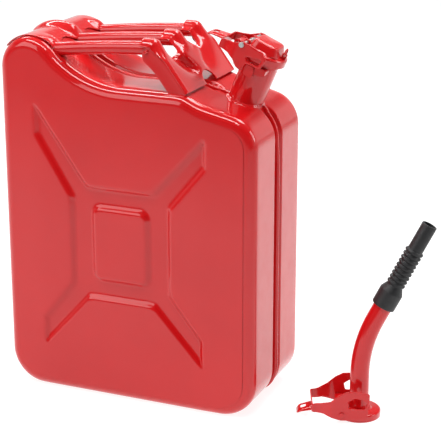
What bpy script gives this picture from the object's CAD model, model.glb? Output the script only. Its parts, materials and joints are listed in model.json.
"""A red 20 litre pressed-steel fuel can with a cam-lever cap, and its loose pouring spout."""

import json
import math

import bpy
import numpy as np
from mathutils import Matrix, Vector, geometry


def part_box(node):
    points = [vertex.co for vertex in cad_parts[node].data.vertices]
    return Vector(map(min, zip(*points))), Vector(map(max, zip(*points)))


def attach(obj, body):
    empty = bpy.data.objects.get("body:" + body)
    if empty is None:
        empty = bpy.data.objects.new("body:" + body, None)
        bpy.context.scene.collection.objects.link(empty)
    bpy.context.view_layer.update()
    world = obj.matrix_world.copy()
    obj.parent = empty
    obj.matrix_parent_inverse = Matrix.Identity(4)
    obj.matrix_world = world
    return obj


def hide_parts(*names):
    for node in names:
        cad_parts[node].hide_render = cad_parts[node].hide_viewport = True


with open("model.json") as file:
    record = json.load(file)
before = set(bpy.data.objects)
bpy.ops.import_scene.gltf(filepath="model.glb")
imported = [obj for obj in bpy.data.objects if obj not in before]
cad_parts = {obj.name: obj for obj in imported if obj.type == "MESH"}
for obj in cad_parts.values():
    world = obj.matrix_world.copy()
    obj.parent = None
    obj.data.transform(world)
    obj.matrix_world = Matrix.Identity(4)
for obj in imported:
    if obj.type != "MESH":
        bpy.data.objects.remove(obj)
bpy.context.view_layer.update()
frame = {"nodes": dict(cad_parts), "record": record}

MM = 0.001

# ---- Frames: the can, its neck, the spout and the nozzle, all in millimetres ----

SHELL_LOW, SHELL_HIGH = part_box("front_shell")
CAN = Matrix.Translation(((SHELL_LOW.x + SHELL_HIGH.x) / 2, 0, 0)) @ Matrix.Scale(MM, 4)
NECK_AT = (129, 0, 393)
NECK_LEAN = math.radians(23)
NECK = CAN @ Matrix.Translation(NECK_AT) @ Matrix.Rotation(NECK_LEAN, 4, "Y")
SPOUT = CAN @ Matrix.Translation((285.6, -2.3, 0)) @ Matrix.Rotation(math.radians(23.2), 4, "Z")
BEND_START = 55
BEND_RADIUS = 165
BEND_ANGLE = math.radians(27)
BEND_END = (BEND_RADIUS * (1 - math.cos(BEND_ANGLE)), 0, BEND_START + BEND_RADIUS * math.sin(BEND_ANGLE))
NOZZLE = SPOUT @ Matrix.Translation(BEND_END) @ Matrix.Rotation(BEND_ANGLE, 4, "Y")

# ---- Dimensions of the can, in the can's frame ----

HALF_LENGTH = 172.5
FACE_Y = 82.5
BOTTOM_RADIUS = 46
SHOULDER_RADIUS = 42
SHOULDER_Z = 348
SHOULDER_SLOPE = 8
CREST_X, CREST_Z = 79, 409
CREST_FOOT_X, CREST_FOOT_Z = 98, 399
HUMP_RADIUS = 42
HUMP_X, HUMP_Z = -130.5, 421
HUMP_TURN = 47
FACE_ROUND = 14
OUTLINE_STEP = 2.6
CREST_BLEND_FROM, CREST_BLEND_TO = 60, 145
CREST_BLEND_ROUNDS = 12

SEAM_DEPTH = 7
SEAM_LEVEL_FROM, SEAM_LEVEL_TO = 80, 164
BEAD_TOP, BEAD_NECK_TOP = 0.5, -2.8
BEAD_PROUD = 2.2
NECK_HOLE_RADIUS, NECK_HOLE_DEPTH = 19.6, 60
BEAD_GAP_RADIUS = 21

# ---- Mesh helpers ----


def make_piece(name, points, faces, matrix, material, body, nodes=(), slot="red_paint", sharp=35):
    """One mesh from points in a frame's millimetres, smooth but for its sharp edges."""
    mesh = bpy.data.meshes.new(name)
    mesh.from_pydata([tuple(matrix @ Vector(p)) for p in points], [], faces)
    mesh.validate()
    mesh.polygons.foreach_set("use_smooth", [True] * len(mesh.polygons))
    mesh.set_sharp_from_angle(angle=math.radians(sharp))
    mesh.materials.append(material)
    piece = bpy.data.objects.new(name, mesh)
    bpy.context.scene.collection.objects.link(piece)
    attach(piece, body)
    if nodes:
        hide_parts(*nodes)
    return piece


def join_parts(*parts):
    """Several (points, faces) pairs as one."""
    points = []
    faces = []
    for part_points, part_faces in parts:
        start = len(points)
        points.extend(part_points)
        faces.extend(tuple(start + i for i in face) for face in part_faces)
    return points, faces


def loft(rings, closed_rings=True, looped=False, caps=False):
    """Quads between rings of equal length."""
    count = len(rings[0])
    points = [tuple(p) for ring in rings for p in ring]
    faces = []
    bands = len(rings) if looped else len(rings) - 1
    for band in range(bands):
        following = (band + 1) % len(rings)
        for i in range(count if closed_rings else count - 1):
            j = (i + 1) % count
            here, there = band * count, following * count
            faces.append((here + i, here + j, there + j, there + i))
    if caps:
        faces.append(tuple(range(count))[::-1])
        faces.append(tuple((len(rings) - 1) * count + i for i in range(count)))
    return points, faces


def turned(profile, sides=64, closed=False):
    """A surface of revolution about Z from (radius, z) pairs."""
    rings = []
    for k in range(sides):
        turn = 2 * math.pi * k / sides
        rings.append([(r * math.cos(turn), r * math.sin(turn), z) for r, z in profile])
    return loft(rings, closed_rings=closed, looped=True)


def rounded_path(corners, closed=False, step=0.6):
    """A polyline through (a, b, radius) corners, with each corner rounded to its radius."""
    path = []
    count = len(corners)
    for i, (a, b, radius) in enumerate(corners):
        here = Vector((a, b))
        if radius == 0 or (not closed and i in (0, count - 1)):
            path.append((a, b))
            continue
        before = Vector(corners[i - 1][:2]) - here
        after = Vector(corners[(i + 1) % count][:2]) - here
        angle = before.angle(after)
        if angle > math.pi - 0.02:
            path.append((a, b))
            continue
        reach = min(radius / math.tan(angle / 2), before.length * 0.49, after.length * 0.49)
        size = reach * math.tan(angle / 2)
        middle = here + (before.normalized() + after.normalized()).normalized() * size / math.sin(angle / 2)
        start = here + before.normalized() * reach - middle
        end = here + after.normalized() * reach - middle
        sweep = start.angle(end)
        turn = 1 if start.x * end.y - start.y * end.x > 0 else -1
        steps = max(3, min(12, int(size * sweep / step)))
        for k in range(steps + 1):
            bend = turn * sweep * k / steps
            path.append((
                middle.x + start.x * math.cos(bend) - start.y * math.sin(bend),
                middle.y + start.x * math.sin(bend) + start.y * math.cos(bend),
            ))
    return path


def rounded_loop(corners, radius, step=0.7):
    """A closed loop with all its corners rounded alike."""
    return rounded_path([(a, b, radius) for a, b in corners], closed=True, step=step)


def inside_polygon(points, polygon):
    """Whether each 2-D point lies inside a polygon."""
    x, z = points[:, 0], points[:, 1]
    inside = np.zeros(len(points), bool)
    ends = np.roll(polygon, -1, axis=0)
    for (x0, z0), (x1, z1) in zip(polygon, ends):
        if z0 == z1:
            continue
        crosses = (z0 > z) != (z1 > z)
        inside ^= crosses & (x < (x1 - x0) * (z - z0) / (z1 - z0) + x0)
    return inside


def polygon_distance(points, polygon):
    """Signed distance from 2-D points to a polygon, negative inside."""
    distance = np.full(len(points), np.inf)
    ends = np.roll(polygon, -1, axis=0)
    for start, end in zip(polygon, ends):
        along = end - start
        length = max(float(along @ along), 1e-9)
        share = np.clip(((points - start) @ along) / length, 0, 1)
        gap = points - start - share[:, None] * along
        distance = np.minimum(distance, np.hypot(gap[:, 0], gap[:, 1]))
    return np.where(inside_polygon(points, polygon), -distance, distance)


def smooth_step(value):
    """Rises smoothly from 0 to 1, for a number or an array."""
    value = np.clip(value, 0, 1)
    return value * value * (3 - 2 * value)


def fill_region(loops, pitch, margin=0.5):
    """Points and triangles that fill the 2-D area inside the first loop and outside the others."""
    outer = np.array(loops[0])
    low, high = outer.min(0), outer.max(0)
    grid = np.stack(np.meshgrid(
        np.arange(low[0] + pitch / 2, high[0], pitch),
        np.arange(low[1] + pitch / 2, high[1], pitch),
    ), -1).reshape(-1, 2)
    keep = polygon_distance(grid, outer) < -margin * pitch
    for hole in loops[1:]:
        keep &= polygon_distance(grid, np.array(hole)) > margin * pitch
    verts = []
    edges = []
    for loop in loops:
        start = len(verts)
        verts.extend(Vector(p) for p in loop)
        edges.extend((start + i, start + (i + 1) % len(loop)) for i in range(len(loop)))
    verts.extend(Vector(p) for p in grid[keep])
    out = geometry.delaunay_2d_cdt(verts, edges, [], 2, 1e-5)
    points, faces = np.array([tuple(p) for p in out[0]]), out[2]
    middles = np.array([points[list(face)].mean(0) for face in faces])
    inside = inside_polygon(middles, outer)
    for hole in loops[1:]:
        inside &= ~inside_polygon(middles, np.array(hole))
    return points, [tuple(face) for face, ok in zip(faces, inside) if ok]


# ---- Shells ----


def arc_points(x, z, radius, start, end, step=2.2):
    """Points along an arc between two angles in degrees."""
    steps = max(3, int(abs(math.radians(end - start)) * radius / step))
    turns = np.radians(np.linspace(start, end, steps + 1))
    return [(x + radius * math.cos(t), z + radius * math.sin(t)) for t in turns]


def can_outline():
    """The can's outline and its inward normals, anticlockwise from the base's left end."""
    scoop_end_z = HUMP_Z + HUMP_RADIUS * math.cos(math.radians(HUMP_TURN))
    scoop_end_x = HUMP_X + HUMP_RADIUS * math.sin(math.radians(HUMP_TURN))
    scoop_radius = (scoop_end_z - CREST_Z) / (1 - math.cos(math.radians(HUMP_TURN)))
    scoop_x = scoop_end_x + scoop_radius * math.sin(math.radians(HUMP_TURN))
    right = HALF_LENGTH - BOTTOM_RADIUS
    path = arc_points(-right, BOTTOM_RADIUS, BOTTOM_RADIUS, 180, 270)
    path += arc_points(right, BOTTOM_RADIUS, BOTTOM_RADIUS, 270, 360)
    path += arc_points(HALF_LENGTH - SHOULDER_RADIUS, SHOULDER_Z, SHOULDER_RADIUS, 0, 90 - SHOULDER_SLOPE)
    path += [(CREST_FOOT_X, CREST_FOOT_Z), (CREST_X, CREST_Z)]
    path += arc_points(scoop_x, CREST_Z + scoop_radius, scoop_radius, 270, 270 - HUMP_TURN)
    path += arc_points(HUMP_X, HUMP_Z, HUMP_RADIUS, 90 - HUMP_TURN, 180)
    corners = np.array(path)
    ends = np.roll(corners, -1, axis=0)
    points = []
    for start, end in zip(corners, ends):
        steps = max(1, int(round(np.linalg.norm(end - start) / OUTLINE_STEP)))
        points.extend(start + (end - start) * k / steps for k in range(steps))
    points = np.array(points)
    near_crest = (points[:, 0] > CREST_BLEND_FROM) & (points[:, 0] < CREST_BLEND_TO)
    near_crest &= points[:, 1] > SHOULDER_Z
    for _ in range(CREST_BLEND_ROUNDS):
        average = (np.roll(points, 1, axis=0) + np.roll(points, -1, axis=0)) / 2
        points[near_crest] = (points[near_crest] + average[near_crest]) / 2
    along = np.roll(points, -1, axis=0) - np.roll(points, 1, axis=0)
    along /= np.linalg.norm(along, axis=1)[:, None]
    inward = np.stack([-along[:, 1], along[:, 0]], -1)
    return points, inward


OUTLINE, INWARD = can_outline()

# The embossing: an eight-sided trench with four arms, round a raised pad

EMBOSS_X, EMBOSS_Z = -6.5, 208
EMBOSS_DEPTH = 5
EMBOSS_SLOPE = 7.5
PAD_HALF_X, PAD_HALF_Z, PAD_CORNER = 37.5, 48, 11
CHANNEL_HALF_X, CHANNEL_HALF_Z = 67, 72
CHANNEL_CUT_X, CHANNEL_CUT_Z = 24, 19
ARM_ENDS = {
    (-1, 1): (-114, 134, 168),
    (1, 1): (114, 114, 146),
    (-1, -1): (-109, -142, -111),
    (1, -1): (110, -142, -111),
}
BORDER_FROM, BORDER_FALL, BORDER_EASE = 105, 0.05, 14


def blend_union(first, second, size=7.0):
    """The smooth union of two distance fields."""
    share = np.clip(0.5 + 0.5 * (second - first) / size, 0, 1)
    return second * (1 - share) + first * share - size * share * (1 - share)


def face_depth(points):
    """How far the big face is pressed in at each (x, z)."""
    local = points - np.array([EMBOSS_X, EMBOSS_Z])
    octagon = []
    for sx, sz in [(1, -1), (1, 1), (-1, 1), (-1, -1)]:
        cut = [
            (sx * (CHANNEL_HALF_X - CHANNEL_CUT_X), sz * CHANNEL_HALF_Z),
            (sx * CHANNEL_HALF_X, sz * (CHANNEL_HALF_Z - CHANNEL_CUT_Z)),
        ]
        octagon += cut if sx * sz < 0 else cut[::-1]
    field = polygon_distance(local, np.array(octagon))
    for (sx, sz), (end, low, high) in ARM_ENDS.items():
        arm = np.array([
            (sx * (CHANNEL_HALF_X - CHANNEL_CUT_X - 1), sz * (CHANNEL_HALF_Z - 4)),
            (sx * (CHANNEL_HALF_X - 4), sz * (CHANNEL_HALF_Z - CHANNEL_CUT_Z - 1)),
            (end, low if sz > 0 else high),
            (end, high if sz > 0 else low),
        ])
        field = blend_union(field, polygon_distance(local, arm))
    pad = np.abs(local) - np.array([PAD_HALF_X - PAD_CORNER, PAD_HALF_Z - PAD_CORNER])
    outside = np.hypot(np.maximum(pad[:, 0], 0), np.maximum(pad[:, 1], 0))
    pad_field = outside + np.minimum(np.maximum(pad[:, 0], pad[:, 1]), 0) - PAD_CORNER
    trench = smooth_step(0.5 - field / EMBOSS_SLOPE)
    raised = smooth_step(0.5 - pad_field / EMBOSS_SLOPE)
    return EMBOSS_DEPTH * trench * (1 - raised)


def border_fall(x):
    """The face's outer border leans back a little from the pressed middle."""
    beyond = np.maximum(np.abs(x - EMBOSS_X) - BORDER_FROM, 0)
    return BORDER_FALL * beyond ** 2 / (beyond + BORDER_EASE)


def channel_depth(x, z):
    """How deep the seam's channel lies along the outline: it comes up level around the neck."""
    rising = smooth_step((x - SEAM_LEVEL_FROM) / 18) * smooth_step((SEAM_LEVEL_TO - x) / 14)
    return SEAM_DEPTH * (1 - np.where(z > SHOULDER_Z, rising, 0))


def clear_of_neck(points, faces, radius):
    """The faces that lie outside a round hole about the neck's axis."""
    axis = Vector((math.sin(NECK_LEAN), 0, math.cos(NECK_LEAN)))
    kept = []
    for face in faces:
        offset = Vector(np.mean([points[i] for i in face], axis=0)) - Vector(NECK_AT)
        along = offset.dot(axis)
        if (offset - axis * along).length > radius or along < -NECK_HOLE_DEPTH:
            kept.append(face)
    return kept


def half_shell():
    """Points and faces of the shell on the -Y side."""
    section = [(FACE_ROUND - FACE_ROUND * math.cos(t), -FACE_Y + FACE_ROUND - FACE_ROUND * math.sin(t))
               for t in np.linspace(math.pi / 2, 0, 13)]
    section += [(0, y) for y in (-60, -52, -44, -36, -30, -26, -22, -18, -15)]
    ledge = len(section)
    channel = [(0, -15, 0), (0, -12, 2.2), (SEAM_DEPTH, -9, 1.8), (SEAM_DEPTH, -0.15, 0)]
    section += rounded_path(channel, step=0.4)[1:]
    fall = border_fall(OUTLINE[:, 0])
    depth_share = channel_depth(OUTLINE[:, 0], OUTLINE[:, 1]) / SEAM_DEPTH
    rings = []
    for place, (inset, y) in enumerate(section):
        if place >= ledge:
            inset = (inset * depth_share)[:, None]
        ring = OUTLINE + INWARD * inset
        weight = max(0.0, (-y - 40) / (FACE_Y - 40))
        rings.append([(x, y + f * weight, z) for (x, z), f in zip(ring, fall)])
    strip_points, strip_faces = loft(rings)
    strip = (strip_points, clear_of_neck(strip_points, strip_faces, NECK_HOLE_RADIUS))
    inner = OUTLINE + INWARD * FACE_ROUND
    flat, flat_faces = fill_region([inner], 2.4)
    depth = face_depth(flat) + border_fall(flat[:, 0])
    face_points = [(x, -FACE_Y + d, z) for (x, z), d in zip(flat, depth)]
    flipped = [face[::-1] for face in flat_faces]
    return weld(join_parts(strip, (face_points, flipped)))


def weld(part):
    """Merges points of a part that fall together, to a two-hundredth of a millimetre."""
    points, faces = part
    first = {}
    new_points = []
    remap = []
    for point in points:
        key = tuple(round(c * 200) for c in point)
        if key not in first:
            first[key] = len(new_points)
            new_points.append(point)
        remap.append(first[key])
    new_faces = []
    for face in faces:
        merged = [remap[i] for i in face]
        if len(set(merged)) == len(merged):
            new_faces.append(tuple(merged))
    return new_points, new_faces


def mirrored(part):
    """The same part on the other side of the can's middle plane."""
    points, faces = part
    return [(x, -y, z) for x, y, z in points], [face[::-1] for face in faces]


def seam_bead():
    """The welded flange in the channel between the shells, a little proud of them on the can's sides."""
    x, z = OUTLINE[:, 0], OUTLINE[:, 1]
    recess = channel_depth(x, z) / SEAM_DEPTH
    proud = BEAD_PROUD * smooth_step(z / 25) * smooth_step((360 - z) / 60)
    top = BEAD_NECK_TOP + (BEAD_TOP - BEAD_NECK_TOP) * recess - proud
    foot = SEAM_DEPTH * recess - 0.1
    half_section = [(0, -2.5), (0.6, -2.3), (0.85, -2.0), (0.97, -1.2)]
    section = half_section + [(1, 0)] + [(height, -y) for height, y in half_section[::-1]]
    rings = []
    for height, y in section:
        inset = foot + (top - foot) * height
        rings.append([(px, y, pz) for px, pz in OUTLINE + INWARD * inset[:, None]])
    points, faces = loft(rings)
    return points, clear_of_neck(points, faces, BEAD_GAP_RADIUS)


# ---- Materials ----


def new_material(name):
    """A material with its node tree and its shader."""
    material = bpy.data.materials.new(name)
    material.use_nodes = True
    tree = material.node_tree
    return material, tree, tree.nodes["Principled BSDF"]


def noise_value(tree, scale, detail):
    """Noise in the object's own coordinates."""
    coords = tree.nodes.new("ShaderNodeTexCoord")
    node = tree.nodes.new("ShaderNodeTexNoise")
    node.inputs["Scale"].default_value = scale
    node.inputs["Detail"].default_value = detail
    tree.links.new(coords.outputs["Object"], node.inputs["Vector"])
    return node.outputs["Fac"]


def ranged(tree, value, low, high, start=0.3, end=0.7):
    """A value mapped from start..end to low..high."""
    node = tree.nodes.new("ShaderNodeMapRange")
    for name, number in (("From Min", start), ("From Max", end), ("To Min", low), ("To Max", high)):
        node.inputs[name].default_value = number
    tree.links.new(value, node.inputs["Value"])
    return node.outputs["Result"]


def mixed_colour(tree, value, first, second):
    """A colour between two, chosen by a value."""
    node = tree.nodes.new("ShaderNodeMix")
    node.data_type = "RGBA"
    node.inputs[6].default_value = (*first, 1)
    node.inputs[7].default_value = (*second, 1)
    tree.links.new(value, node.inputs[0])
    return node.outputs[2]


def add_bump(tree, shader, height, distance, strength):
    """Fine relief on a shader's surface."""
    node = tree.nodes.new("ShaderNodeBump")
    node.inputs["Distance"].default_value = distance
    node.inputs["Strength"].default_value = strength
    tree.links.new(height, node.inputs["Height"])
    tree.links.new(node.outputs["Normal"], shader.inputs["Normal"])


def product(tree, first, second):
    """Two values multiplied."""
    node = tree.nodes.new("ShaderNodeMath")
    node.operation = "MULTIPLY"
    tree.links.new(first, node.inputs[0])
    tree.links.new(second, node.inputs[1])
    return node.outputs[0]


def red_paint():
    """Glossy red powder coat with a faint orange peel."""
    material, tree, shader = new_material("red_powder_coat")
    tone = ranged(tree, noise_value(tree, 7, 4), 0, 1)
    colour = mixed_colour(tree, tone, (0.56, 0.004, 0.006), (0.62, 0.007, 0.009))
    tree.links.new(colour, shader.inputs["Base Color"])
    tree.links.new(ranged(tree, noise_value(tree, 45, 4), 0.30, 0.40), shader.inputs["Roughness"])
    shader.inputs["Specular IOR Level"].default_value = 0.08
    shader.inputs["Coat Weight"].default_value = 1.0
    shader.inputs["Coat Roughness"].default_value = 0.05
    shader.inputs["Coat IOR"].default_value = 1.5
    add_bump(tree, shader, noise_value(tree, 260, 2), 0.0001, 0.35)
    return material


def plated_steel():
    """Zinc-plated steel with fine brushing."""
    material, tree, shader = new_material("plated_steel")
    tone = noise_value(tree, 300, 4)
    colour = mixed_colour(tree, tone, (0.58, 0.58, 0.56), (0.80, 0.80, 0.78))
    tree.links.new(colour, shader.inputs["Base Color"])
    shader.inputs["Metallic"].default_value = 1.0
    tree.links.new(ranged(tree, noise_value(tree, 700, 3), 0.2, 0.42), shader.inputs["Roughness"])
    add_bump(tree, shader, noise_value(tree, 1500, 2), 0.00005, 0.4)
    return material


def black_rubber():
    """Moulded rubber, slightly mottled."""
    material, tree, shader = new_material("black_rubber")
    tone = noise_value(tree, 120, 5)
    colour = mixed_colour(tree, tone, (0.006, 0.006, 0.007), (0.014, 0.014, 0.015))
    tree.links.new(colour, shader.inputs["Base Color"])
    tree.links.new(ranged(tree, noise_value(tree, 250, 3), 0.42, 0.60), shader.inputs["Roughness"])
    add_bump(tree, shader, noise_value(tree, 1800, 3), 0.0001, 0.5)
    return material


FLOOR_GLOW = 0.86
FLOOR_DIM = 0.22


def white_floor():
    """Bright white paper that glows a little, and dims away from the object towards the front and right."""
    material, tree, shader = new_material("white_paper")
    tone = noise_value(tree, 3, 2)
    colour = mixed_colour(tree, tone, (0.30, 0.30, 0.30), (0.32, 0.32, 0.32))
    tree.links.new(colour, shader.inputs["Base Color"])
    tree.links.new(ranged(tree, noise_value(tree, 40, 2), 0.8, 0.9), shader.inputs["Roughness"])
    shader.inputs["Specular IOR Level"].default_value = 0.1
    coords = tree.nodes.new("ShaderNodeTexCoord")
    split = tree.nodes.new("ShaderNodeSeparateXYZ")
    tree.links.new(coords.outputs["Object"], split.inputs["Vector"])
    front = ranged(tree, split.outputs["Y"], FLOOR_DIM, FLOOR_GLOW, -1.5, -0.75)
    right = ranged(tree, split.outputs["X"], 1.0, 0.45, 0.6, 1.3)
    tree.links.new(product(tree, front, right), shader.inputs["Emission Strength"])
    shader.inputs["Emission Color"].default_value = (1, 1, 1, 1)
    return material


RED = red_paint()
STEEL = plated_steel()
RUBBER = black_rubber()
SLOT_MATERIALS = {"red_paint": RED, "plain_steel": STEEL, "black_rubber": RUBBER}


def paint_cad_nodes():
    """Gives every CAD node that stays in view its finish, on the object's own slots."""
    for entry in frame["record"]["subparts"]:
        node = frame["nodes"][entry["node"]]
        if not node.data.materials:
            continue
        for slot in node.material_slots:
            slot.link = "OBJECT"
            slot.material = SLOT_MATERIALS[entry["material_slot"]]


# ---- Handles ----

TUBE_PITCH = 61
TUBE_RADIUS = 8.5
TUBE_FRONT = (33, 459.2)
TUBE_REAR = (-116, 445.2)
TUBE_RISE = 2
TUBE_STEPS, TUBE_SIDES = 40, 32


def handle_tube(y):
    """A carrying tube, slightly arched, that runs into the rear hump."""
    rings = []
    front, rear = Vector(TUBE_FRONT), Vector(TUBE_REAR)
    middle = (front + rear) / 2 + Vector((0, 2 * TUBE_RISE))
    for k in range(TUBE_STEPS + 1):
        t = k / TUBE_STEPS
        centre = front * (1 - t) ** 2 + middle * 2 * t * (1 - t) + rear * t ** 2
        along = ((middle - front) * (1 - t) + (rear - middle) * t).normalized()
        up = Vector((along.y, -along.x))
        flare = 1 + 0.12 * max(0.0, (t - 0.80) / 0.2) ** 2
        ring = []
        for i in range(TUBE_SIDES):
            turn = 2 * math.pi * i / TUBE_SIDES
            side = TUBE_RADIUS * flare * math.cos(turn)
            rise = TUBE_RADIUS * flare * math.sin(turn)
            ring.append((centre.x + up.x * rise, y + side, centre.y + up.y * rise))
        rings.append(ring)
    return loft(rings, caps=True)


TUBE_PLACES = {"near": -TUBE_PITCH, "centre": 0, "far": TUBE_PITCH}
HOOD_RADIUS, HOOD_REACH = 11, 10


def hood_droop(y):
    """How far a hood's round back falls beside its tube's middle."""
    beside = min(HOOD_REACH, *(abs(y - centre) for centre in TUBE_PLACES.values()))
    return HOOD_RADIUS - math.sqrt(HOOD_RADIUS ** 2 - beside * beside)


BRACKET_HALF = 73
BRACKET_TOP = 470
ARCH_Y, ARCH_RADIUS, ARCH_BOTTOM = 30.5, 13.5, 41
FOOT_NOTCH_HALF, FOOT_NOTCH_DEPTH = 16, 17
EDGE_STEPS, ARCH_STEPS = 24, 16


def bracket_line():
    """The front bracket's section, from its top edge to its foot, as (x, z) points."""
    return rounded_path([(22, BRACKET_TOP, 0), (37.5, BRACKET_TOP, 9), (82, 409.5, 0)], step=1.0)


def along_line(line, distance):
    """The point and direction a distance along a polyline."""
    for start, end in zip(line, line[1:]):
        a, b = Vector(start), Vector(end)
        length = (b - a).length
        if distance <= length:
            return a + (b - a) * (distance / length), (b - a).normalized()
        distance -= length
    a, b = Vector(line[-2]), Vector(line[-1])
    return b + (b - a).normalized() * distance, (b - a).normalized()


def bracket_arch(side):
    """The cut-out between two hoods, in the sheet's own (y, distance) plane."""
    middle = side * ARCH_Y
    loop = [(middle - ARCH_RADIUS, -2)]
    for k in range(ARCH_STEPS + 1):
        turn = math.pi + math.pi * k / ARCH_STEPS
        reach = ARCH_RADIUS * math.cos(turn)
        loop.append((middle + reach, ARCH_BOTTOM - ARCH_RADIUS - ARCH_RADIUS * math.sin(turn)))
    loop.append((middle + ARCH_RADIUS, -2))
    return loop


def bracket_outline(length):
    """The front bracket's blank: a rectangle with two arches at its top and a small one at its foot."""
    half = BRACKET_HALF
    loop = [(-half, 0)]
    for side in (-1, 1):
        arch = bracket_arch(side)
        loop.append((arch[0][0], 0))
        loop.extend(arch[1:-1])
        loop.append((arch[-1][0], 0))
    loop.append((half, 0))
    loop.extend((half, length * k / EDGE_STEPS) for k in range(1, EDGE_STEPS + 1))
    loop.append((FOOT_NOTCH_HALF, length))
    for k in range(1, 12):
        turn = math.pi * k / 12
        loop.append((FOOT_NOTCH_HALF * math.cos(turn), length - FOOT_NOTCH_DEPTH * math.sin(turn)))
    loop.append((-FOOT_NOTCH_HALF, length))
    loop.extend((-half, length * k / EDGE_STEPS) for k in range(EDGE_STEPS, 0, -1))
    return densified(loop, 2.5)


def densified(loop, pitch):
    """The same closed loop with no step longer than the pitch."""
    dense = []
    for start, end in zip(loop, loop[1:] + loop[:1]):
        a, b = Vector(start), Vector(end)
        steps = max(1, int(math.ceil((b - a).length / pitch)))
        dense.extend(tuple(a + (b - a) * k / steps) for k in range(steps))
    return dense


def front_bracket():
    """One pressing: three hoods over the tube ends, arches with turned-down rims, and side flanges."""
    line = bracket_line()
    length = sum((Vector(b) - Vector(a)).length for a, b in zip(line, line[1:]))
    flat, faces = fill_region([bracket_outline(length)], 2.2)
    arches = [np.array(bracket_arch(side)) for side in (-1, 1)]
    near_arch = np.minimum(*(np.abs(polygon_distance(flat, arch)) for arch in arches))
    points = []
    for (y, s), rim in zip(flat, near_arch):
        at, ahead = along_line(line, s)
        fade = 1 - smooth_step((s - 20) / 26)
        sink = hood_droop(y) * fade + bracket_valley(y, s) + 3.2 * math.exp(-((rim / 3.2) ** 2))
        edge = max(0.0, abs(y) - (BRACKET_HALF - 4)) / 4
        sink += -0.8 * math.sin(math.pi * min(edge, 1.0)) + 1.4 * edge ** 3
        inward = Vector((ahead.y, -ahead.x))
        points.append((at.x + inward.x * sink, y, at.y + inward.y * sink))
    flange = side_flange(line, length)
    return join_parts((points, faces), flange, mirrored(flange))


def bracket_valley(y, s):
    """The hollow that runs from an arch down to the notch at the foot, deeper on the near side."""
    depth = 8.5 if y < 0 else 4.0
    middle = ARCH_Y - 14 * smooth_step((s - 38) / 32)
    beyond = abs(y) - middle
    spread = 19 if beyond > 0 else 6
    share = smooth_step((s - 18) / 20) * (1 - smooth_step((s - 56) / 26))
    return depth * share * math.exp(-((beyond / spread) ** 2))


FLANGE_FROM = 6


def side_flange(line, length):
    """The flange turned down along the bracket's outer edge."""
    rings = []
    steps = 30
    for k in range(steps + 1):
        s = FLANGE_FROM + (length - FLANGE_FROM) * k / steps
        at, ahead = along_line(line, s)
        inward = Vector((ahead.y, -ahead.x))
        width = 3 + 16 * smooth_step((s - 4) / 26)
        droop = hood_droop(BRACKET_HALF) * (1 - smooth_step((s - 14) / 40))
        ring = []
        for share in np.arange(7) / 6:
            depth = 1.0 + droop + width * share
            y = -BRACKET_HALF + 0.2 + 0.5 * math.sin(math.pi * share)
            ring.append((at.x + inward.x * depth, y, at.y + inward.y * depth))
        rings.append(ring)
    return loft(rings, closed_rings=False)


SADDLE_HALF = 71
SADDLE_FROM, SADDLE_TO = 30, 141
SADDLE_FRONT = -95.5
RIDGE_HALF = 15


def shell_drop(y):
    """How far the shell's rounded edge falls below its top at a place across the can."""
    beyond = abs(y) - (FACE_Y - FACE_ROUND)
    return FACE_ROUND - math.sqrt(FACE_ROUND ** 2 - beyond ** 2) if beyond > 0 else 0.0


def rear_bracket():
    """The rear bracket: a sheet round the hump, a ridge over the seam, and sockets for the tubes."""
    rows = []
    across = np.linspace(-SADDLE_HALF, SADDLE_HALF, 121)
    around = np.linspace(SADDLE_FROM, SADDLE_TO, 75)
    for turn in around:
        row = []
        for y in across:
            ridge = math.cos(math.pi * y / (2 * RIDGE_HALF)) ** 1.3 if abs(y) < RIDGE_HALF else 0.0
            front = smooth_step((turn - 46) / 22)
            rear = smooth_step((SADDLE_TO + 3 - turn) / 14)
            socket = max(math.exp(-(((y - centre) / 9.5) ** 4)) for centre in TUBE_PLACES.values())
            lift = 5.8 * ridge * front * (0.35 + 0.65 * rear)
            lift += 3.2 * socket * math.exp(-(((turn - 54) / 15) ** 2))
            radius = HUMP_RADIUS + 1.9 + lift - shell_drop(y)
            angle = math.radians(turn)
            row.append((HUMP_X + radius * math.cos(angle), y, HUMP_Z + radius * math.sin(angle)))
        rows.append(row)
    points, faces = loft(rows, closed_rings=False)
    kept = [face for face in faces if in_saddle(points, face)]
    return points, kept


def in_saddle(points, face):
    """Whether a face lies inside the rear bracket's trimmed outline."""
    x = sum(points[i][0] for i in face) / len(face)
    y = sum(points[i][1] for i in face) / len(face)
    scallop = 9.5 * (0.5 - 0.5 * math.cos(2 * math.pi * y / TUBE_PITCH))
    return x < SADDLE_FRONT - scallop


# ---- Neck and cap, in the neck's frame: Z along the neck, X towards the front ----

NECK_RADIUS = 22
NECK_BORE = 20.5
LEVER_PIVOT = (-22.5, 69.8)
LEVER_WIDE, LEVER_NARROW = 29.8, 22.2
WELD_SECTION = [(-0.4, 2.6), (0.4, 1.9), (1.2, 1.1), (2.2, 0.4), (3.2, -0.8)]
WELD_RIPPLES = 31


def surface_height(radius, turns):
    """Where lines parallel to the neck, a radius away from its axis, meet the can's surface."""
    low = np.full(len(turns), -25.0)
    high = np.full(len(turns), 30.0)
    lean_x, lean_z = math.sin(NECK_LEAN), math.cos(NECK_LEAN)
    x, y = radius * np.cos(turns), radius * np.sin(turns)
    for _ in range(16):
        middle = (low + high) / 2
        points = np.stack([
            NECK_AT[0] + x * lean_z + middle * lean_x,
            NECK_AT[2] - x * lean_x + middle * lean_z,
        ], -1)
        inside = inside_polygon(points, OUTLINE)
        low = np.where(inside, middle, low)
        high = np.where(inside, high, middle)
    return (low + high) / 2


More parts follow.
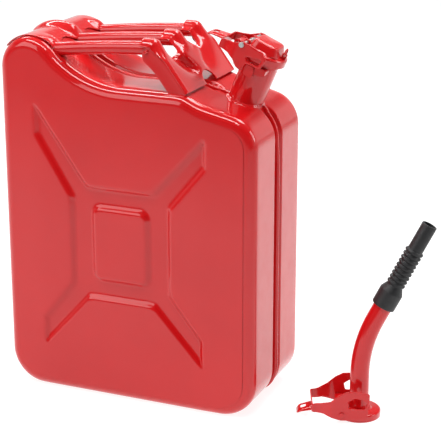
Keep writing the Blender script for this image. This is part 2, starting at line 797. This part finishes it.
def weld_fillet():
    """The weld where the neck meets the can."""
    turns = np.linspace(0, 2 * math.pi, 97)[:-1]
    rings = []
    ripple = 0.25 * np.sin(turns * WELD_RIPPLES)
    for reach, lift in WELD_SECTION:
        radius = NECK_RADIUS + reach
        heights = surface_height(radius, turns)
        for _ in range(3):
            heights = (np.roll(heights, 1) + 2 * heights + np.roll(heights, -1)) / 4
        heights = heights + lift + ripple
        rings.append([(radius * math.cos(t), radius * math.sin(t), h) for t, h in zip(turns, heights)])
    return loft(rings)


def neck_tube():
    """The filler neck: a rolled lip, a clamping groove and a lengthwise weld."""
    profile = rounded_path([
        (NECK_BORE, -16, 0), (NECK_RADIUS, -16, 0), (NECK_RADIUS, 51.5, 1), (23.6, 53.6, 1),
        (23.6, 56.8, 1.2), (21.2, 57.4, 1), (NECK_BORE, 56, 1), (NECK_BORE, -16, 0),
    ], step=0.5)[:-1]
    points, faces = turned(profile, 96, closed=True)
    bumped = []
    for x, y, z in points:
        radius = math.hypot(x, y)
        turn = math.atan2(y, x)
        if radius > NECK_RADIUS - 0.2 and z < 51:
            swell = 0.55 * math.exp(-(((turn + 0.62) * radius / 1.1) ** 2))
            x, y = x * (radius + swell) / radius, y * (radius + swell) / radius
        bumped.append((x, y, z))
    return bumped, faces


PLATE_FILL = 1.6


def extruded(outline, y0, y1, pitch=1.5):
    """A plate with an (x, z) outline between two places across the can."""
    loop = densified(outline, pitch)
    flat, triangles = fill_region([loop], pitch * PLATE_FILL)
    count = len(flat)
    points = [(x, y0, z) for x, z in flat] + [(x, y1, z) for x, z in flat]
    faces = [tuple(t) for t in triangles] + [tuple(count + i for i in t[::-1]) for t in triangles]
    place = {tuple(np.round(p, 4)): i for i, p in enumerate(flat)}
    around = [place[tuple(np.round(p, 4))] for p in loop]
    for i, j in zip(around, around[1:] + around[:1]):
        faces.append((i, count + i, count + j, j))
    return points, faces


LUG_INNER = 15


def neck_lug(side):
    """A pressed lug beside the neck: a box with a curled top, and a rounded finger next to it."""
    box = extruded(rounded_path([
        (-9, 36.5, 2.5), (3, 36.5, 2.5), (3, 50, 4.2), (-9, 50, 3.2),
    ], closed=True), LUG_INNER, 28)
    finger = extruded(rounded_path([
        (2.5, 42, 1), (12.5, 43.6, 3), (17, 45, 4.5), (17, 53, 4.5), (12, 53, 2), (2.5, 52, 1),
    ], closed=True), LUG_INNER, 26.4)
    part = join_parts(box, finger)
    return part if side > 0 else mirrored(part)


LID_SIDES = 120
LID_SQUARENESS = 5


def cap_lid():
    """The cap: a flanged lip, and a flat-topped boss with rounded corners."""
    profile = rounded_path([
        (0, 80, 0), (15.5, 79.4, 3.5), (18.6, 70.4, 2.4), (21.5, 67.6, 2), (26.6, 67.4, 1.5),
        (28, 65.6, 1.5), (28, 57.2, 1), (26.6, 56.5, 0.6), (25.6, 57.2, 0.6), (25.6, 62, 1),
        (17.2, 62, 1), (15, 76.6, 3), (0, 78.2, 0),
    ], step=0.6)
    rings = []
    for k in range(LID_SIDES):
        turn = 2 * math.pi * k / LID_SIDES
        powers = abs(math.cos(turn)) ** LID_SQUARENESS + abs(math.sin(turn)) ** LID_SQUARENESS
        squared = powers ** (-1 / LID_SQUARENESS)
        ring = []
        for radius, z in profile:
            square = 1 + (squared - 1) * smooth_step((23.5 - radius) / 5)
            ring.append((radius * square * math.cos(turn), radius * square * math.sin(turn), z))
        rings.append(ring)
    lid = loft(rings, closed_rings=False, looped=True)
    knuckle = bar_y(4, -8, 8, -34, 62)
    arm = extruded(rounded_path([
        (-25, 62.4, 0.8), (-25, 66.6, 0.8), (-34, 65.9, 2), (-37.4, 62, 3), (-34, 58.1, 2),
    ], closed=True), -8, 8)
    return join_parts(lid, knuckle, arm)


def bar_y(radius, y0, y1, x, z, sides=28, edge=0.5):
    """A round bar along Y with rounded ends."""
    corner = radius - 0.3 * edge
    profile = [
        (0.01, y0), (radius - edge, y0), (corner, y0 + 0.3 * edge), (radius, y0 + edge),
        (radius, y1 - edge), (corner, y1 - 0.3 * edge), (radius - edge, y1), (0.01, y1),
    ]
    rings = []
    for k in range(sides):
        turn = 2 * math.pi * k / sides
        rings.append([(x + r * math.cos(turn), y, z + r * math.sin(turn)) for r, y in profile])
    return loft(rings, closed_rings=False, looped=True)


EAR_Y, EAR_HALF = 12, 1.1


def cap_ears():
    """The two ears on the cap that carry the lever's pin."""
    x, z = LEVER_PIVOT
    lug = rounded_path([
        (x - 4.4, 67.6, 0), (x + 4.6, 67.6, 0), (x + 3.4, z + 3.4, 2.8), (x - 3.6, z + 3.4, 2.8),
    ], closed=True)
    return [extruded(lug, side * EAR_Y - EAR_HALF, side * EAR_Y + EAR_HALF, pitch=1.2) for side in (-1, 1)]


def lever_half_width(x, nose):
    """Half the width of a lever's U band at a place along it."""
    share = smooth_step((nose + 26 - x) / 22)
    return LEVER_WIDE + (LEVER_NARROW - LEVER_WIDE) * share


def lever_cheek(side_outline, window, nose):
    """One cheek of a lever, as a sheet bent in towards the nose."""
    flat, faces = fill_region([densified(side_outline, 1.6), densified(window, 1.2)], 2.0)
    points = [(x, lever_half_width(x, nose), z) for x, z in flat]
    return points, faces


def lever_nose(nose, low, high):
    """The lever's closed end, between its two cheeks, with rounded corners."""
    start, corner = nose + 0.5, LEVER_NARROW - 1
    path = rounded_path([
        (start, -LEVER_NARROW, 0), (nose, -corner, 6), (nose, corner, 6), (start, LEVER_NARROW, 0),
    ], step=0.8)
    rings = [[(x, y, z) for x, y in path] for z in np.linspace(low, high, 8)]
    return loft(rings, closed_rings=False)


TONGUE_HALF = 11


def lever_tongue(nose, length, low, high, slot_from):
    """The slotted tab: a tongue that curls down at its end and along its sides."""
    end_half = TONGUE_HALF - 1.5
    outline = rounded_path([
        (0, -TONGUE_HALF, 0), (length, -end_half, 5), (length, end_half, 5), (0, TONGUE_HALF, 0),
    ], closed=True)
    slot_to = slot_from + 7
    hole = rounded_loop([(slot_from, -4.5), (slot_to, -4.5), (slot_to, 4.5), (slot_from, 4.5)], 1.5, step=0.6)
    flat, faces = fill_region([densified(outline, 1.5), densified(hole, 1.0)], 1.8)
    points = []
    for s, y in flat:
        share = s / length
        fall = (high - low) * share
        end_curl = 4.5 * max(0.0, (share - 0.72) / 0.28) ** 2
        curl = end_curl + 4.0 * max(0.0, (abs(y) - TONGUE_HALF + 5) / 5) ** 2
        points.append((nose - s * (1 - 0.04 * share), y, high - fall - curl))
    return points, faces


# ---- Spout, in its own frame, and nozzle, about its own axis ----

SPOUT_RADIUS, SPOUT_WALL = 12, 1.2
SPOUT_FOOT, SPOUT_TAIL = 4, 36
NOZZLE_START, NOZZLE_BOOT, NOZZLE_TAPER = 18, 22, 9
NOZZLE_RIDGES, NOZZLE_RIDGE_END, NOZZLE_TIP = 9, 100, 136
NOZZLE_SOCKET, NOZZLE_BORE = 12.3, 7.5
NOZZLE_CREST, NOZZLE_VALLEY = 11.9, 9.7


def spout_base():
    """The clamping cup at the spout's foot, with a rounded shoulder and a collar round the tube."""
    profile = rounded_path([
        (17, 3.4, 0.4), (26, 3.4, 0.3), (26, 0, 0.4), (27.5, 0, 0.6), (27.5, 7.6, 1.6), (25.6, 9, 1.4),
        (16.4, 9, 1.2), (14.4, 12, 1.0), (12.3, 12, 0.3), (12.3, 2, 0.3), (17, 2, 0.4),
    ], closed=True, step=0.4)
    return turned(profile, 96, closed=True)


def spout_centre_line(start, tail):
    """Places and directions along the spout's tube, in its plane of bending."""
    line = [(0, z, 0) for z in np.linspace(start, BEND_START, 12)[:-1]]
    for turn in np.linspace(0, BEND_ANGLE, 28):
        line.append((BEND_RADIUS * (1 - math.cos(turn)), BEND_START + BEND_RADIUS * math.sin(turn), turn))
    end_x, end_z = line[-1][:2]
    for reach in np.linspace(0, tail, 8)[1:]:
        line.append((end_x + reach * math.sin(BEND_ANGLE), end_z + reach * math.cos(BEND_ANGLE), BEND_ANGLE))
    return line


def spout_pipe(radius, wall, start, tail, sides=56):
    """The bent steel tube: its outer skin up, and its inner skin back down."""
    line = spout_centre_line(start, tail)
    skins = [(radius, place) for place in line] + [(radius - wall, place) for place in line[::-1]]
    rings = []
    for size, (x, z, turn) in skins:
        ring = []
        for k in range(sides):
            around = 2 * math.pi * k / sides
            across = size * math.cos(around)
            ring.append((x + across * math.cos(turn), size * math.sin(around), z - across * math.sin(turn)))
        rings.append(ring)
    return loft(rings, looped=True)


def spout_nozzle():
    """The rubber nozzle: a boot over the tube's end, nine soft ridges, and a plain tip."""
    boot_top = NOZZLE_START + NOZZLE_BOOT
    neck = boot_top + NOZZLE_TAPER
    pitch = (NOZZLE_RIDGE_END - neck) / NOZZLE_RIDGES
    corners = [
        (NOZZLE_SOCKET, NOZZLE_START, 0.3), (14.6, NOZZLE_START, 0.8), (15, NOZZLE_START + 2, 1.2),
        (15, boot_top, 2.6), (10.2, neck, 2.2),
    ]
    for ridge in range(NOZZLE_RIDGES):
        start = neck + pitch * ridge
        corners += [
            (NOZZLE_CREST, start + pitch * 0.34, 0.9),
            (NOZZLE_CREST, start + pitch * 0.66, 0.9),
            (NOZZLE_VALLEY, start + pitch, 0.7),
        ]
    corners += [
        (NOZZLE_VALLEY, NOZZLE_TIP, 0.8), (NOZZLE_BORE, NOZZLE_TIP, 0.6),
        (NOZZLE_BORE, boot_top - 1, 0.5), (NOZZLE_SOCKET, boot_top - 1, 0.5),
    ]
    return turned(rounded_path(corners, closed=True, step=0.35), 72, closed=True)


# ---- Assembly ----


def build_can():
    """The shells, the seam, the handles and their brackets."""
    shell = half_shell()
    make_piece("front_shell_fine", *shell, CAN, RED, "can", ["front_shell"], sharp=60)
    make_piece("rear_shell_fine", *mirrored(shell), CAN, RED, "can", ["rear_shell"], sharp=60)
    make_piece("seam_bead", *seam_bead(), CAN, RED, "can", ["weld_seam"], sharp=60)
    for place, y in TUBE_PLACES.items():
        make_piece(f"tube_{place}", *handle_tube(y), CAN, RED, "can", [f"handle_tube_{place}"], sharp=50)
    node = "handle_front_bracket"
    bracket = make_piece("front_bracket", *front_bracket(), CAN, RED, "can", [node], sharp=50)
    add_thickness(bracket, 1.6, -1, 0.35)
    node = "handle_rear_bracket"
    saddle = make_piece("rear_bracket", *rear_bracket(), CAN, RED, "can", [node], sharp=50)
    add_thickness(saddle, 1.4, -1, 0.35)


def build_neck():
    """The neck with its weld and lugs, and the cap with its ears."""
    make_piece("neck_tube", *neck_tube(), NECK, RED, "can", ["filler_neck"], sharp=50)
    make_piece("neck_weld", *weld_fillet(), NECK, RED, "can", sharp=80)
    for place, side in (("near", -1), ("far", 1)):
        lug = make_piece(f"lug_{place}", *neck_lug(side), NECK, RED, "can", [f"neck_lug_{place}"], sharp=40)
        add_rounding(lug, 0.9)
    make_piece("cap_lid", *cap_lid(), NECK, RED, "cap_assembly", ["cap"], sharp=50)
    for place, ear in zip(("near", "far"), cap_ears()):
        node = f"cap_lug_{place}"
        piece = make_piece(f"cap_ear_{place}", *ear, NECK, RED, "cap_assembly", [node], sharp=40)
        add_rounding(piece, 0.4)


def build_lever(name, matrix, body, node, parts):
    """A lever as one bent sheet."""
    piece = make_piece(name, *join_parts(*parts), matrix, RED, body, [node], sharp=55)
    add_thickness(piece, 1.6, 0, 0.45)


def build_cap_lever():
    """The lever that clamps the cap."""
    nose = -51
    side = rounded_loop([
        (-51.2, 62.6), (-51.2, 51), (-36, 51), (-27, 48), (-20, 41.5), (-11, 39), (-10, 50.8), (10, 52.5),
        (13, 66), (4, 72.5), (-8, 73.6), (-21, 74.2), (-34, 66.5),
    ], 2.5)
    window = rounded_loop([(-14, 58.5), (-9, 54), (6, 55), (8.5, 64.5)], 1.6)
    cheek = lever_cheek(side, window, nose)
    end = lever_nose(nose, 51.2, 62.4)
    tongue = lever_tongue(nose, 26, 57, 61.8, 13)
    parts = [cheek, mirrored(cheek), end, tongue]
    build_lever("cap_lever_fine", NECK, "cap_lever_arm", "cap_lever", parts)


def build_spout_lever():
    """The lever that would clamp the spout on the neck."""
    nose = -60
    side = rounded_loop([
        (-60.2, 24), (-60.2, 12.8), (-46, 12), (-36, 8), (-25, 4.6), (-6, 4.4), (8, 4.4), (10.5, 34),
        (10.5, 40), (-4, 43.4), (-18, 43), (-28, 38), (-38, 29.5), (-50, 25.4),
    ], 2.5)
    window = rounded_loop([(-15, 20), (5, 20), (8, 27), (3, 32), (-8, 34.5), (-17, 29)], 2.5)
    cheek = lever_cheek(side, window, nose)
    end = lever_nose(nose, 12.9, 23.8)
    tongue = lever_tongue(nose, 19, 8.6, 14.2, 7)
    parts = [cheek, mirrored(cheek), end, tongue]
    build_lever("spout_lever_fine", SPOUT, "spout_lever_arm", "spout_lever", parts)


def build_spout():
    """The spout's cup and tube, and its rubber nozzle."""
    pipe = spout_pipe(SPOUT_RADIUS, SPOUT_WALL, SPOUT_FOOT, SPOUT_TAIL)
    make_piece("spout_cup", *spout_base(), SPOUT, RED, "spout", ["spout_base"], sharp=50)
    make_piece("spout_pipe", *pipe, SPOUT, RED, "spout", ["spout_tube"], sharp=50)
    make_piece("nozzle", *spout_nozzle(), NOZZLE, RUBBER, "spout", ["spout_nozzle"], "black_rubber", sharp=60)


def add_rounding(piece, width, segments=3, sharper_than=40):
    """Rounds a piece's sharp edges."""
    bevel = piece.modifiers.new("edge", "BEVEL")
    bevel.width = width * MM
    bevel.segments = segments
    bevel.limit_method = "ANGLE"
    bevel.angle_limit = math.radians(sharper_than)


def add_thickness(piece, thickness, offset, edge):
    """Gives a sheet its thickness, to one side or both, and a narrow rounded edge."""
    solid = piece.modifiers.new("sheet", "SOLIDIFY")
    solid.thickness = thickness * MM
    solid.offset = offset
    solid.use_even_offset = False
    add_rounding(piece, edge, 2, 50)


# ---- Camera, lights and floor ----

CAMERA_LENS = 126.57
CAMERA_TURN = math.radians(23.23)
CAMERA_DIP = math.radians(18.0)
CAMERA_PLACE = (0.8298, -1.7121, 0.8414)
SOFTBOXES = {
    "strip_box": ((-0.75, 1.25, 1.85), (-0.1, 0, 0.35), (2.4, 0.16), 22),
    "ceiling_box": ((-0.3, -0.9, 2.9), (0, 0, 0.3), (3.2, 0.4), 60),
    "top_box": ((0.5, 0.9, 2.3), (0, 0, 0.2), (1.2, 0.8), 30),
    "left_box": ((-1.9, -2.5, 2.0), (-0.1, 0, 0.2), (2.6, 2.0), 48),
    "right_box": ((2.6, 0.9, 1.4), (0, 0, 0.25), (0.9, 1.4), 22),
}
FLOOR_HALF = 9


def aim(thing, place, target):
    """Puts a camera or a light in the scene, pointed at a target."""
    thing.location = place
    thing.rotation_mode = "QUATERNION"
    thing.rotation_quaternion = (Vector(target) - Vector(place)).to_track_quat("-Z", "Y")
    bpy.context.scene.collection.objects.link(thing)


def make_camera():
    """The camera, above and to the right of the can, looking down at it."""
    data = bpy.data.cameras.new("camera")
    data.sensor_width = 36
    data.lens = CAMERA_LENS
    data.clip_start = 0.05
    camera = bpy.data.objects.new("camera", data)
    level = math.cos(CAMERA_DIP)
    ahead = Vector((-math.sin(CAMERA_TURN) * level, math.cos(CAMERA_TURN) * level, -math.sin(CAMERA_DIP)))
    place = CAN.translation + Vector(CAMERA_PLACE)
    aim(camera, place, place + ahead)
    bpy.context.scene.camera = camera


def add_softbox(name, place, target, size, power):
    """A rectangular studio light."""
    data = bpy.data.lights.new(name, "AREA")
    data.shape = "RECTANGLE"
    data.size, data.size_y = size
    data.energy = power
    aim(bpy.data.objects.new(name, data), place, target)


def make_world():
    """A white studio sky: plain white to the eye, and dimmer high up and in front as a light."""
    world = bpy.data.worlds.new("studio")
    world.use_nodes = True
    tree = world.node_tree
    background = tree.nodes["Background"]
    coords = tree.nodes.new("ShaderNodeTexCoord")
    split = tree.nodes.new("ShaderNodeSeparateXYZ")
    tree.links.new(coords.outputs["Generated"], split.inputs["Vector"])
    low_sky = ranged(tree, split.outputs["Z"], 0.8, 0.12, 0.30, 0.42)
    behind = ranged(tree, split.outputs["Y"], 0.15, 1.0, -0.45, 0.15)
    seen = tree.nodes.new("ShaderNodeLightPath")
    choose = tree.nodes.new("ShaderNodeMix")
    tree.links.new(seen.outputs["Is Camera Ray"], choose.inputs["Factor"])
    tree.links.new(product(tree, low_sky, behind), choose.inputs["A"])
    choose.inputs["B"].default_value = 1.0
    tree.links.new(choose.outputs["Result"], background.inputs["Strength"])
    background.inputs["Color"].default_value = (1, 1, 1, 1)
    bpy.context.scene.world = world


def make_floor():
    """A wide sheet of paper just under the object."""
    mesh = bpy.data.meshes.new("floor")
    corners = [(x * FLOOR_HALF, y * FLOOR_HALF, 0) for x, y in ((-1, -1), (1, -1), (1, 1), (-1, 1))]
    mesh.from_pydata(corners, [], [(0, 1, 2, 3)])
    mesh.materials.append(white_floor())
    floor = bpy.data.objects.new("floor", mesh)
    floor.location.z = -0.0002
    bpy.context.scene.collection.objects.link(floor)


def make_studio():
    """The world, the softboxes and the floor."""
    bpy.context.scene.view_settings.view_transform = "Standard"
    make_world()
    for name, settings in SOFTBOXES.items():
        add_softbox(name, *settings)
    make_floor()


make_camera()
paint_cad_nodes()
build_can()
build_neck()
build_cap_lever()
build_spout_lever()
build_spout()
make_studio()
